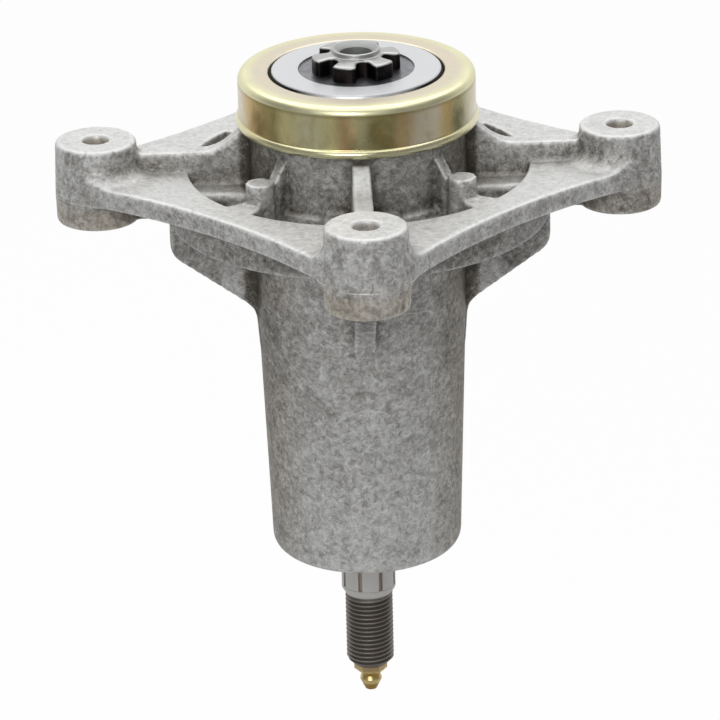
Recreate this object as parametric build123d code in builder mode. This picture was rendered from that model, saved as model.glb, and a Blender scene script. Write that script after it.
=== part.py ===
from build123d import *
import math
import os

# Mower deck spindle, drawn blade end up. Millimetres, Z along the shaft toward the blade.
# Zero is the plane of the four ear faces that seat on the deck, on the shaft's axis.

# Bolt ears
bolt_circle_r = 76.2
ear_count = 4
ear_height = 24.3
ear_face_r = 11.8
ear_parting_r = 12.3
ear_foot_r = 12.1
ear_edge_r = 0.9
ear_hole_r = 3.75
ear_mouth_chamfer = 0.4
ear_flare_r = 5.5
ear_under_flare_r = 3.0

# Square frame, drawn in by shallow arcs between the lobes that carry the ears
frame_drop = 10.0
frame_thickness = 6.0
frame_waist = 59.3
frame_lobe_r = 14.2
frame_lobe_inset = 3.6
frame_edge_r = 0.8

# Round skirt under the frame, and the opening inside it
opening_r = 49.8
skirt_top_r = 56.2
skirt_foot_r = 55.5
skirt_height = 9.0
skirt_draft = 0.5
skirt_edge_r = 0.7

# Barrel and neck
neck_rise = 6.0
neck_top_r = 31.5
neck_edge_r = 0.8
barrel_parting_r = 32.0
barrel_depth = 130.0
barrel_foot_r = 28.05
barrel_edge_r = 4.0

# Ribs from the neck to the ears, and the gussets under them
root_sink = 2.0
rib_parting_half = 3.3
rib_crest_half = 2.6
rib_crest_drop = 4.0
rib_shoulder_rise = 1.9
rib_shoulder_r = 34.4
rib_shoulder_edge_r = 1.5
rib_valley_r = 41.4
rib_valley_fillet = 12.0
gusset_half = 3.0
gusset_r = 55.7
gusset_heel_drop = 10.9
gusset_heel_r = 7.0
gusset_toe_drop = 17.5
gusset_toe_r = 31.2
gusset_toe_fillet = 7.0
gusset_tail = 12.0

# Floor strips beside the ribs, with vents between them
floor_drop = 4.0
floor_thickness = 4.0
floor_half = 11.4
floor_edge_r = 1.9
floor_lip_r = 33.6
floor_lip_drop = 1.3

# Pads on posts between the ribs, each with a web to the neck and a lobe to the skirt
pad_circle_r = 41.0
pad_r = 4.05
pad_drop = 6.0
pad_edge_r = 0.7
post_foot_r = 4.4
web_half = 1.8
web_crest_rise = 0.6
lobe_root_half = 5.2
lobe_tip_half = 3.0
lobe_tip_r = 42.6

# Ball bearings
bearing_bore_r = 8.5
bearing_outer_r = 20.0
bearing_width = 12.0
race_inner_r = 12.25
race_outer_r = 16.6
race_edge_r = 0.6
ball_count = 8
ball_r = 3.37
ball_circle_r = 14.25
running_clearance = 0.05
pocket_gap = 0.02
cage_wall = 1.1
cage_half_width = 4.2
seal_thickness = 0.8
seal_inset = 0.5
seal_gap = 0.3
upper_bearing_depth = 1.0
lower_bearing_depth = 2.0
shoulder_bore_r = 17.6

# Spacer sleeve between the inner rings
sleeve_r = 11.4
sleeve_bore_gap = 0.1
sleeve_edge = 0.5
sleeve_port_r = 2.0

# Shaft: head, blade seat and star
head_r = 27.6
head_rise = 11.7
head_rim_height = 3.4
head_cone_height = 4.6
collar_r = 12.0
collar_flare = 2.0
collar_step = 1.0
pilot_r = 24.8
pilot_height = 1.9
blade_seat_chamfer = 0.5
recess_r = 16.9
recess_depth = 0.45
star_points = 6
star_angle = 12.0
star_height = 4.25
star_tip_r = 12.7
star_root_r = 8.8
star_tip_half_angle = 17.0
star_root_half_angle = 19.0
star_corner_r = 2.0
star_edge_r = 0.3
hub_r = 7.0
hub_height = 6.1
blade_bolt_r = 4.76
blade_bolt_depth = 32.7
blade_bolt_chamfer = 1.5

# Shaft: spline, relief and nut thread
spline_r = 8.1
spline_length = 18.7
spline_top_chamfer = 0.5
spline_foot_chamfer = 2.2
spline_grooves = 8
spline_angle = 250.4
spline_groove_width = 1.25
spline_groove_depth = 0.85
relief_r = 6.5
relief_length = 2.2
thread_r = 7.14
thread_lead_in = 1.3
thread_length = 20.8
thread_chamfer = 2.2
passage_r = 1.6
passage_length = 110.0
cross_hole_r = 1.5

# Dust cap
cap_clearance = 1.5
cap_sheet = 1.5
cap_height = 15.4
cap_hole_gap = 0.7
cap_corner_r = 1.8
cap_bead_r = 1.2
cap_bead_step = 0.3

# Grease fitting
fitting_shank_r = 3.15
fitting_shank_length = 5.5
fitting_shank_gap = 0.5
fitting_hex_r = 5.0
fitting_hex_height = 2.1
fitting_skirt_step = 0.8
fitting_skirt_height = 1.5
fitting_neck_r = 2.75
fitting_head_r = 3.25
fitting_head_drop = 5.3
fitting_head_land = 0.6
fitting_tip_r = 1.75
fitting_length = 8.7
fitting_bore_r = 1.4
fitting_mouth_r = 0.7
fitting_mouth_length = 1.1
check_ball_r = 1.1
check_ball_gap = 0.02
spring_seat_depth = 1.0
spring_wire_r = 0.18
spring_turns = 5
spring_coil_r = 0.95

# Heights worked out from the sizes above
frame_top_z = -frame_drop
parting_z = frame_top_z - frame_thickness
skirt_foot_z = parting_z - skirt_height
ear_foot_z = -ear_height
neck_top_z = neck_rise
barrel_foot_z = -barrel_depth
gusset_heel_z = skirt_foot_z - gusset_heel_drop
gusset_toe_z = gusset_heel_z - gusset_toe_drop
floor_top_z = frame_top_z - floor_drop
floor_under_z = floor_top_z - floor_thickness
upper_bearing_top_z = neck_top_z - upper_bearing_depth
upper_bearing_z = upper_bearing_top_z - bearing_width / 2
lower_bearing_foot_z = barrel_foot_z + lower_bearing_depth
lower_bearing_z = lower_bearing_foot_z + bearing_width / 2
sleeve_top_z = upper_bearing_top_z - bearing_width
sleeve_foot_z = lower_bearing_foot_z + bearing_width
head_seat_z = neck_top_z + head_rise
head_under_z = head_seat_z - head_rim_height - head_cone_height
blade_seat_z = head_seat_z + pilot_height
recess_z = blade_seat_z - recess_depth
star_tip_z = blade_seat_z + star_height
hub_top_z = blade_seat_z + hub_height
spline_foot_z = lower_bearing_foot_z - spline_length
relief_foot_z = spline_foot_z - relief_length
thread_top_z = relief_foot_z - thread_lead_in
thread_foot_z = thread_top_z - thread_length
passage_top_z = thread_foot_z + passage_length
cap_top_z = head_seat_z + cap_sheet
cap_foot_z = cap_top_z - cap_height
fitting_shank_top_z = thread_foot_z + fitting_shank_length - fitting_shank_gap
fitting_hex_foot_z = thread_foot_z - fitting_hex_height
fitting_neck_z = fitting_hex_foot_z - fitting_skirt_height
fitting_head_z = thread_foot_z - fitting_head_drop
fitting_foot_z = thread_foot_z - fitting_length
fitting_seat_z = fitting_foot_z + fitting_mouth_length
spring_top_z = thread_foot_z + spring_seat_depth

# Radii and places worked out from the sizes above
ear_angles = [360 * k / ear_count for k in range(ear_count)]
half_pitch = 180 / ear_count
lobe_circle_r = bolt_circle_r - frame_lobe_inset
lobe_diagonal = lobe_circle_r * math.cos(math.radians(half_pitch))
waist_arc_r = ((frame_waist - lobe_diagonal) ** 2 + lobe_diagonal**2 - frame_lobe_r**2) / (
    2 * (frame_lobe_r - frame_waist + lobe_diagonal)
)
barrel_draft = (barrel_parting_r - barrel_foot_r) / (parting_z - barrel_foot_z)
root_r = barrel_foot_r - root_sink
race_r = ball_r + running_clearance
cap_bore_r = neck_top_r + cap_clearance
cap_r = cap_bore_r + cap_sheet
cap_hole_r = pilot_r + cap_hole_gap
star_slope = (hub_height - star_height) / (star_tip_r - hub_r)
ball_reach = check_ball_r + check_ball_gap
check_ball_z = fitting_seat_z + math.sqrt(ball_reach**2 - fitting_mouth_r**2)
spring_foot_z = check_ball_z + math.sqrt((ball_reach + spring_wire_r) ** 2 - spring_coil_r**2)
spring_height = spring_top_z - spring_wire_r - spring_foot_z


def polar(radius, angle):
    """A point of the plan at a radius and an angle in degrees."""
    return (radius * math.cos(math.radians(angle)), radius * math.sin(math.radians(angle)))


def barrel_r(height):
    """The barrel's outer radius at a height below the parting plane."""
    return barrel_parting_r - barrel_draft * (parting_z - height)


def frame_outline():
    """The arcs of the frame's outline: one round each lobe, one drawn in between each pair."""
    arcs = []
    for angle in ear_angles:
        lobe = Vector(*polar(lobe_circle_r, angle))
        before = Vector(*polar(frame_waist + waist_arc_r, angle - half_pitch))
        after = Vector(*polar(frame_waist + waist_arc_r, angle + half_pitch))
        far_lobe = Vector(*polar(lobe_circle_r, angle + 2 * half_pitch))
        start = lobe + (before - lobe).normalized() * frame_lobe_r
        end = lobe + (after - lobe).normalized() * frame_lobe_r
        next_start = far_lobe + (after - far_lobe).normalized() * frame_lobe_r
        arcs.append(ThreePointArc(start, polar(lobe_circle_r + frame_lobe_r, angle), end))
        arcs.append(ThreePointArc(end, polar(frame_waist, angle + half_pitch), next_start))
    return arcs


# Plate of the frame, its upper outer edge rounded
with BuildPart() as frame_plate:
    with BuildSketch(Plane.XY.offset(parting_z)):
        with BuildLine():
            add(frame_outline())
        make_face()
    extrude(amount=frame_thickness)
    fillet(frame_plate.edges().group_by(Axis.Z)[-1], frame_edge_r)

# Ring of the skirt, drafted toward its rounded foot
with BuildPart() as skirt:
    with BuildSketch(Plane.XZ) as skirt_section:
        Polygon(
            (opening_r - skirt_draft, parting_z),
            (skirt_top_r, parting_z),
            (skirt_foot_r, skirt_foot_z),
            (opening_r, skirt_foot_z),
            align=None,
        )
        fillet(skirt_section.vertices().sort_by_distance((skirt_foot_r, skirt_foot_z))[0], skirt_edge_r)
    revolve(axis=Axis.Z)

# Barrel with its neck, drafted both ways from the parting plane
with BuildPart() as barrel:
    with BuildSketch(Plane.XZ) as barrel_section:
        Polygon(
            (0, barrel_foot_z),
            (barrel_foot_r, barrel_foot_z),
            (barrel_parting_r, parting_z),
            (neck_top_r, neck_top_z),
            (0, neck_top_z),
            align=None,
        )
        fillet(barrel_section.vertices().sort_by_distance((barrel_foot_r, barrel_foot_z))[0], barrel_edge_r)
        fillet(barrel_section.vertices().sort_by_distance((neck_top_r, neck_top_z))[0], neck_edge_r)
    revolve(axis=Axis.Z)

# Boss of one ear, drafted both ways from the parting plane
with BuildPart() as ear_boss:
    with BuildSketch(Plane.XZ) as boss_section:
        Polygon(
            (0, ear_foot_z),
            (ear_foot_r, ear_foot_z),
            (ear_parting_r, parting_z),
            (ear_face_r, 0),
            (0, 0),
            align=None,
        )
        fillet(boss_section.vertices().sort_by_distance((ear_face_r, 0))[0], ear_edge_r)
        fillet(boss_section.vertices().sort_by_distance((ear_foot_r, ear_foot_z))[0], ear_edge_r)
    revolve(axis=Axis.Z)

# Flare of one ear, above the frame and below it, kept inside the frame's outline
with BuildPart() as ear_flare:
    with BuildSketch(Plane.XZ):
        with BuildLine():
            ear_x = bolt_circle_r
            upper_r = ear_x + ear_face_r
            lower_r = ear_x + ear_foot_r
            upper_z = frame_top_z + ear_flare_r
            lower_z = parting_z - ear_under_flare_r
            bulge = 1 - math.sqrt(0.5)
            Polyline((upper_r, upper_z), (ear_x, upper_z), (ear_x, lower_z), (lower_r, lower_z))
            ThreePointArc(
                (lower_r, lower_z),
                (lower_r + ear_under_flare_r * bulge, parting_z - ear_under_flare_r * bulge),
                (lower_r + ear_under_flare_r, parting_z),
            )
            Polyline(
                (lower_r + ear_under_flare_r, parting_z),
                (upper_r + ear_flare_r, parting_z),
                (upper_r + ear_flare_r, frame_top_z),
            )
            ThreePointArc(
                (upper_r + ear_flare_r, frame_top_z),
                (upper_r + ear_flare_r * bulge, frame_top_z + ear_flare_r * bulge),
                (upper_r, upper_z),
            )
        make_face()
    revolve(axis=Axis((bolt_circle_r, 0, 0), (0, 0, 1)))
    with BuildSketch(Plane.XY.offset(lower_z)):
        with BuildLine():
            add(frame_outline())
        make_face()
    extrude(amount=upper_z - lower_z, mode=Mode.INTERSECT)

# One rib: crest above the parting plane, gusset below it
with BuildPart() as rib:
    with BuildSketch(Plane.YZ.offset(root_r)):
        Polygon(
            (-rib_parting_half, parting_z),
            (rib_parting_half, parting_z),
            (rib_crest_half, rib_shoulder_rise),
            (-rib_crest_half, rib_shoulder_rise),
            align=None,
        )
    extrude(amount=bolt_circle_r - ear_face_r / 2 - root_r)
    with BuildSketch(Plane.XZ):
        Polygon(
            (rib_shoulder_r, neck_top_z),
            (rib_shoulder_r, rib_shoulder_rise),
            (rib_valley_r, -rib_crest_drop),
            (bolt_circle_r, -rib_crest_drop),
            (bolt_circle_r, neck_top_z),
            align=None,
        )
    extrude(amount=2 * rib_parting_half, both=True, mode=Mode.SUBTRACT)
    crossing = rib.edges().filter_by(Axis.Y)
    fillet(crossing.sort_by_distance((rib_valley_r, 0, -rib_crest_drop))[0], rib_valley_fillet)
    crossing = rib.edges().filter_by(Axis.Y)
    fillet(crossing.sort_by_distance((rib_shoulder_r, 0, rib_shoulder_rise))[0], rib_shoulder_edge_r)
    with BuildSketch(Plane.XZ) as gusset_side:
        Polygon(
            (root_r, parting_z),
            (bolt_circle_r - ear_foot_r / 2, parting_z),
            (bolt_circle_r - ear_foot_r / 2, ear_foot_z),
            (gusset_r, ear_foot_z),
            (gusset_r, gusset_heel_z),
            (gusset_toe_r, gusset_toe_z),
            (barrel_r(gusset_toe_z - gusset_tail), gusset_toe_z - gusset_tail),
            (root_r, gusset_toe_z - gusset_tail),
            align=None,
        )
        fillet(gusset_side.vertices().sort_by_distance((gusset_r, gusset_heel_z))[0], gusset_heel_r)
        fillet(gusset_side.vertices().sort_by_distance((gusset_toe_r, gusset_toe_z))[0], gusset_toe_fillet)
    extrude(amount=gusset_half, both=True)

# Floor strip beside one rib, its two long edges rounded
with BuildPart() as floor_strip:
    with BuildSketch(Plane.XY.offset(floor_under_z)):
        with Locations(((root_r + opening_r) / 2, 0)):
            Rectangle(opening_r - root_r, 2 * floor_half)
    extrude(amount=floor_thickness)
    fillet(floor_strip.edges().filter_by(Axis.X).group_by(Axis.Z)[-1], floor_edge_r)

# Pad on its post, with the web to the neck and the lobe to the skirt
with BuildPart() as pad_post:
    with BuildSketch(Plane.XY.offset(-pad_drop)) as pad_face:
        with Locations((pad_circle_r, 0)):
            Circle(pad_r)
    with BuildSketch(Plane.XY.offset(floor_under_z)) as post_foot:
        with Locations((pad_circle_r, 0)):
            Circle(post_foot_r)
    loft(sections=[pad_face.sketch, post_foot.sketch])
    fillet(pad_post.edges().sort_by(Axis.Z)[-1], pad_edge_r)
    with BuildSketch(Plane.XZ):
        Polygon(
            (root_r, floor_under_z),
            (pad_circle_r, floor_under_z),
            (pad_circle_r, -pad_drop - pad_edge_r),
            (pad_circle_r - pad_r, -pad_drop - pad_edge_r),
            (neck_top_r, web_crest_rise),
            (root_r, web_crest_rise),
            align=None,
        )
    extrude(amount=web_half, both=True)
    with BuildSketch(Plane.XY.offset(parting_z)):
        Polygon(
            (lobe_tip_r, -lobe_tip_half),
            (opening_r + skirt_draft, -lobe_root_half),
            (opening_r + skirt_draft, lobe_root_half),
            (lobe_tip_r, lobe_tip_half),
            align=None,
        )
    extrude(amount=frame_thickness)

# Cast housing
with BuildPart() as housing:
    add(frame_plate.part)
    with BuildSketch(Plane.XZ):
        Polygon(
            (0, frame_top_z),
            (opening_r, frame_top_z),
            (opening_r - skirt_draft, parting_z),
            (0, parting_z),
            align=None,
        )
    revolve(axis=Axis.Z, mode=Mode.SUBTRACT)
    add(skirt.part)
    add(barrel.part)
    with BuildSketch(Plane.XY.offset(floor_under_z)):
        Circle(floor_lip_r)
    extrude(amount=floor_thickness - floor_lip_drop)
    with PolarLocations(0, ear_count):
        add(floor_strip.part)
        add(rib.part)
        add(ear_flare.part)
    with PolarLocations(0, ear_count, start_angle=half_pitch):
        add(pad_post.part)
    with PolarLocations(bolt_circle_r, ear_count):
        add(ear_boss.part)
        with Locations((0, 0, -ear_height / 2)):
            Cylinder(ear_hole_r, ear_height, mode=Mode.SUBTRACT)
        with Locations((0, 0, -ear_mouth_chamfer / 2)):
            Cone(ear_hole_r, ear_hole_r + ear_mouth_chamfer, ear_mouth_chamfer, mode=Mode.SUBTRACT)
    with BuildSketch(Plane.XZ):
        Polygon(
            (0, neck_top_z),
            (bearing_outer_r, neck_top_z),
            (bearing_outer_r, upper_bearing_top_z - bearing_width),
            (shoulder_bore_r, upper_bearing_top_z - bearing_width),
            (shoulder_bore_r, lower_bearing_foot_z + bearing_width),
            (bearing_outer_r, lower_bearing_foot_z + bearing_width),
            (bearing_outer_r, barrel_foot_z),
            (0, barrel_foot_z),
            align=None,
        )
    revolve(axis=Axis.Z, mode=Mode.SUBTRACT)

# Forged shaft: star end, blade seat, journal, spline and threaded foot
with BuildPart() as spindle_shaft:
    with BuildSketch(Plane.XZ):
        Polygon(
            (0, recess_z),
            (recess_r, recess_z),
            (recess_r, blade_seat_z),
            (pilot_r - blade_seat_chamfer, blade_seat_z),
            (pilot_r, blade_seat_z - blade_seat_chamfer),
            (pilot_r, head_seat_z),
            (head_r, head_seat_z),
            (head_r, head_seat_z - head_rim_height),
            (collar_r + collar_flare, head_under_z),
            (collar_r, head_under_z - collar_step),
            (collar_r, upper_bearing_top_z),
            (bearing_bore_r, upper_bearing_top_z),
            (bearing_bore_r, lower_bearing_foot_z),
            (spline_r, lower_bearing_foot_z - spline_top_chamfer),
            (spline_r, spline_foot_z + spline_foot_chamfer),
            (relief_r, spline_foot_z),
            (relief_r, relief_foot_z),
            (thread_r, thread_top_z),
            (thread_r, thread_foot_z + thread_chamfer),
            (thread_r - thread_chamfer, thread_foot_z),
            (0, thread_foot_z),
            align=None,
        )
    revolve(axis=Axis.Z)
    with BuildSketch(Plane.XY.offset(recess_z)):
        with BuildLine():
            for k in range(star_points):
                tooth = star_angle + 360 * k / star_points
                gap = tooth + 180 / star_points
                next_root = tooth + 360 / star_points - star_root_half_angle
                tip_start = polar(star_tip_r, tooth - star_tip_half_angle)
                tip_end = polar(star_tip_r, tooth + star_tip_half_angle)
                root_start = polar(star_root_r, tooth + star_root_half_angle)
                root_end = polar(star_root_r, next_root)
                next_tip = polar(star_tip_r, tooth + 360 / star_points - star_tip_half_angle)
                ThreePointArc(tip_start, polar(star_tip_r, tooth), tip_end)
                Line(tip_end, root_start)
                ThreePointArc(root_start, polar(star_root_r, gap), root_end)
                Line(root_end, next_tip)
        make_face()
    extrude(amount=hub_top_z - recess_z)
    star_corners = spindle_shaft.edges().filter_by(Axis.Z).filter_by(
        lambda edge: abs(math.hypot(edge.center().X, edge.center().Y) - star_tip_r) < star_corner_r / 4
    )
    fillet(star_corners, star_corner_r)
    with BuildSketch(Plane.XZ):
        Polygon(
            (hub_r, hub_top_z),
            (star_tip_r + star_corner_r, star_tip_z - star_slope * star_corner_r),
            (star_tip_r + star_corner_r, hub_top_z),
            align=None,
        )
    revolve(axis=Axis.Z, mode=Mode.SUBTRACT)
    star_rim = spindle_shaft.edges().filter_by(
        lambda edge: star_tip_z - star_corner_r < edge.center().Z < hub_top_z
        and edge.geom_type != GeomType.LINE
        and math.hypot(edge.center().X, edge.center().Y) > hub_r
    )
    fillet(star_rim, star_edge_r)
    with BuildSketch(Plane.XZ):
        Polygon(
            (0, hub_top_z),
            (blade_bolt_r + blade_bolt_chamfer, hub_top_z),
            (blade_bolt_r, hub_top_z - blade_bolt_chamfer),
            (blade_bolt_r, hub_top_z - blade_bolt_depth),
            (0, hub_top_z - blade_bolt_depth - blade_bolt_r / 2),
            align=None,
        )
    revolve(axis=Axis.Z, mode=Mode.SUBTRACT)
    with BuildSketch(Plane.XY.offset(spline_foot_z)):
        with PolarLocations(spline_r, spline_grooves, start_angle=spline_angle):
            Rectangle(2 * spline_groove_depth, spline_groove_width)
    extrude(amount=spline_length, mode=Mode.SUBTRACT)
    with BuildSketch(Plane.XZ):
        Polygon(
            (0, thread_foot_z),
            (fitting_shank_r, thread_foot_z),
            (fitting_shank_r, thread_foot_z + fitting_shank_length),
            (passage_r, thread_foot_z + fitting_shank_length),
            (passage_r, passage_top_z),
            (0, passage_top_z),
            align=None,
        )
    revolve(axis=Axis.Z, mode=Mode.SUBTRACT)
    with Locations((0, 0, passage_top_z)):
        Cylinder(cross_hole_r, 2 * bearing_bore_r, rotation=(90, 0, 0), mode=Mode.SUBTRACT)

# Pressed dust cap with a rolled bead at its mouth
with BuildPart() as dust_cap:
    with BuildSketch(Plane.XZ) as cap_section:
        Polygon(
            (cap_hole_r, cap_top_z),
            (cap_r, cap_top_z),
            (cap_r, cap_foot_z + cap_bead_r),
            (cap_bore_r, cap_foot_z + cap_bead_r),
            (cap_bore_r, cap_top_z - cap_sheet),
            (cap_hole_r, cap_top_z - cap_sheet),
            align=None,
        )
        corner = cap_section.vertices().sort_by_distance((cap_r, cap_top_z))[0]
        fillet(corner, cap_corner_r)
        corner = cap_section.vertices().sort_by_distance((cap_bore_r, cap_top_z - cap_sheet))[0]
        fillet(corner, cap_corner_r - cap_sheet)
        corner = cap_section.vertices().sort_by_distance((cap_hole_r, cap_top_z))[0]
        fillet(corner, cap_sheet / 2)
        with Locations((cap_r + cap_bead_step - cap_bead_r, cap_foot_z + cap_bead_r)):
            Circle(cap_bead_r)
    revolve(axis=Axis.Z)

# Spacer sleeve between the inner rings, with a port for grease
with BuildPart() as spacer_sleeve:
    with BuildSketch(Plane.XY.offset(sleeve_foot_z)):
        Circle(sleeve_r)
        Circle(bearing_bore_r + sleeve_bore_gap, mode=Mode.SUBTRACT)
    extrude(amount=sleeve_top_z - sleeve_foot_z)
    outer_rims = spacer_sleeve.faces().filter_by(GeomType.CYLINDER).sort_by(SortBy.RADIUS)[-1].edges()
    chamfer(outer_rims.filter_by(GeomType.CIRCLE), sleeve_edge)
    with Locations((0, 0, passage_top_z)):
        Cylinder(sleeve_port_r, 2 * sleeve_r, rotation=(90, 0, 0), mode=Mode.SUBTRACT)

# One ball bearing, centred on zero, its sealed face up
with BuildPart() as outer_ring:
    with BuildSketch(Plane.XZ) as outer_section:
        with Locations(((race_outer_r + bearing_outer_r) / 2, 0)):
            Rectangle(bearing_outer_r - race_outer_r, bearing_width)
        chamfer(outer_section.vertices().group_by(Axis.X)[-1], race_edge_r)
        with Locations((ball_circle_r, 0)):
            Circle(race_r, mode=Mode.SUBTRACT)
        with Locations((race_outer_r, bearing_width / 2), (race_outer_r, -bearing_width / 2)):
            Rectangle(2 * seal_thickness, 2 * (seal_inset + seal_thickness), mode=Mode.SUBTRACT)
    revolve(axis=Axis.Z)

with BuildPart() as inner_ring:
    with BuildSketch(Plane.XZ) as inner_section:
        with Locations(((bearing_bore_r + race_inner_r) / 2, 0)):
            Rectangle(race_inner_r - bearing_bore_r, bearing_width)
        chamfer(inner_section.vertices().group_by(Axis.X)[0], race_edge_r)
        with Locations((ball_circle_r, 0)):
            Circle(race_r, mode=Mode.SUBTRACT)
    revolve(axis=Axis.Z)

with BuildPart() as balls:
    with PolarLocations(ball_circle_r, ball_count):
        Sphere(ball_r)

with BuildPart() as cage:
    Cylinder(ball_circle_r + cage_wall, 2 * cage_half_width)
    Cylinder(ball_circle_r - cage_wall, 2 * cage_half_width, mode=Mode.SUBTRACT)
    with PolarLocations(ball_circle_r, ball_count):
        Cylinder(ball_r + pocket_gap, 4 * cage_wall, rotation=(0, 90, 0), mode=Mode.SUBTRACT)

with BuildPart() as bearing_seal:
    with BuildSketch(Plane.XY.offset(bearing_width / 2 - seal_inset)):
        Circle(race_outer_r + seal_thickness)
        Circle(race_inner_r + seal_gap, mode=Mode.SUBTRACT)
    extrude(amount=-seal_thickness)

# Grease fitting in the foot of the shaft
with BuildPart() as grease_fitting:
    with BuildSketch(Plane.XY.offset(thread_foot_z)):
        RegularPolygon(fitting_hex_r, 6)
    extrude(amount=-fitting_hex_height)
    with BuildSketch(Plane.XZ):
        Polygon(
            (0, fitting_shank_top_z),
            (fitting_shank_r, fitting_shank_top_z),
            (fitting_shank_r, fitting_hex_foot_z),
            (fitting_hex_r - fitting_skirt_step, fitting_hex_foot_z),
            (fitting_neck_r, fitting_neck_z),
            (fitting_neck_r, fitting_neck_z - fitting_head_land / 2),
            (fitting_head_r, fitting_head_z + fitting_head_land / 2),
            (fitting_head_r, fitting_head_z - fitting_head_land / 2),
            (fitting_tip_r, fitting_foot_z),
            (0, fitting_foot_z),
            align=None,
        )
    revolve(axis=Axis.Z)
    with BuildSketch(Plane.XZ):
        Polygon(
            (0, fitting_foot_z),
            (fitting_mouth_r, fitting_foot_z),
            (fitting_mouth_r, fitting_seat_z),
            (fitting_bore_r, fitting_seat_z),
            (fitting_bore_r, spring_top_z),
            (fitting_mouth_r, spring_top_z),
            (fitting_mouth_r, fitting_shank_top_z),
            (0, fitting_shank_top_z),
            align=None,
        )
    revolve(axis=Axis.Z, mode=Mode.SUBTRACT)

with BuildPart() as check_ball:
    with Locations((0, 0, check_ball_z)):
        Sphere(check_ball_r)

with BuildPart() as check_spring:
    with BuildLine() as coil:
        Helix(
            pitch=spring_height / spring_turns,
            height=spring_height,
            radius=spring_coil_r,
            center=(0, 0, spring_foot_z),
        )
    with BuildSketch(Plane(origin=coil.line @ 0, z_dir=coil.line % 0)):
        Circle(spring_wire_r)
    sweep()

os.makedirs("parts", exist_ok=True)

housing.part.label = "housing"
spindle_shaft.part.label = "spindle_shaft"
dust_cap.part.label = "dust_cap"
spacer_sleeve.part.label = "spacer_sleeve"
grease_fitting.part.label = "grease_fitting"
check_ball.part.label = "check_ball"
check_spring.part.label = "check_spring"

export_step(housing.part, "parts/housing.step")
export_step(spindle_shaft.part, "parts/spindle_shaft.step")
export_step(dust_cap.part, "parts/dust_cap.step")
export_step(spacer_sleeve.part, "parts/spacer_sleeve.step")
export_step(grease_fitting.part, "parts/grease_fitting.step")
export_step(check_ball.part, "parts/check_ball.step")
export_step(check_spring.part, "parts/check_spring.step")

# The two bearings: the upper one's seal faces up and the lower one's faces down
bearing_pieces = {
    "outer_ring": outer_ring.part,
    "inner_ring": inner_ring.part,
    "balls": balls.part,
    "cage": cage.part,
    "seal": bearing_seal.part,
}
bearing_places = {
    "upper": Location((0, 0, upper_bearing_z)),
    "lower": Location((0, 0, lower_bearing_z), (180, 0, 0)),
}
for place_name, place in bearing_places.items():
    for piece_name, piece in bearing_pieces.items():
        placed = piece.moved(place)
        placed.label = f"{place_name}_{piece_name}"
        export_step(placed, f"parts/{placed.label}.step")
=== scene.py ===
"""Mower deck spindle, blade end up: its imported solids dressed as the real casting, forging and plating."""

import enum
import functools
import logging
import math
from dataclasses import dataclass, field
from typing import Dict, Iterable, List, Optional, Sequence, Tuple, Union

import bmesh
import bpy
import numpy as np
from mathutils import Matrix, Vector, kdtree


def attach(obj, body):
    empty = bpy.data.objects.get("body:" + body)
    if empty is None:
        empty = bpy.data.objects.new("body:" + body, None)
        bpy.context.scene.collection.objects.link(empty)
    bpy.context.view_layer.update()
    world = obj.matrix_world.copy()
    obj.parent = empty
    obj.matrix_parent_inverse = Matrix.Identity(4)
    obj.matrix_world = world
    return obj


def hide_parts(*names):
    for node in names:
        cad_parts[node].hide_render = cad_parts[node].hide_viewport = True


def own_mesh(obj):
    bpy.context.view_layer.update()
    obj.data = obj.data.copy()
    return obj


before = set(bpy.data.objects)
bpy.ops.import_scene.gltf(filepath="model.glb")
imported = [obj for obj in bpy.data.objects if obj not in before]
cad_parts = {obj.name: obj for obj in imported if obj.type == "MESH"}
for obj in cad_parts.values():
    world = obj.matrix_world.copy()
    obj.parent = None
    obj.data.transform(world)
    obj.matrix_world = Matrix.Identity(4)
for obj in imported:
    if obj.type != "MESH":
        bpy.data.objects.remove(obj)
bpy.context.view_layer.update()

MM = 0.001
OPENNESS_RAYS = 6
Colour = Tuple[float, float, float]
Point = Tuple[float, float, float]
Socket = bpy.types.NodeSocket
Ends = Tuple[float, float]
Section = List[Tuple[float, float]]
Feeds = Union[Sequence[object], Dict[Union[str, int], object]]

logger = logging.getLogger("spindle")


class Axis(enum.Enum):
    """A coordinate that a finish can follow."""

    X = 0
    Y = 1
    Z = 2


class Blend(enum.Enum):
    """How one colour is laid over another."""

    MIX = "MIX"
    MULTIPLY = "MULTIPLY"


class Trace(enum.Enum):
    """A value measured on a mesh and stored on its vertices for a finish."""

    EDGE = "edge_wear_and_highlight"
    HOLLOW = "inner_corner_shade"


@dataclass(frozen=True)
class Layer:
    """One layer of cloudy noise: the size of its largest features in millimetres, and how it is drawn."""

    size: float
    detail: float = 2.0
    roughness: float = 0.5
    swirl: float = 0.0
    shift: Point = (0.0, 0.0, 0.0)
    scale: Point = (1.0, 1.0, 1.0)


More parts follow.
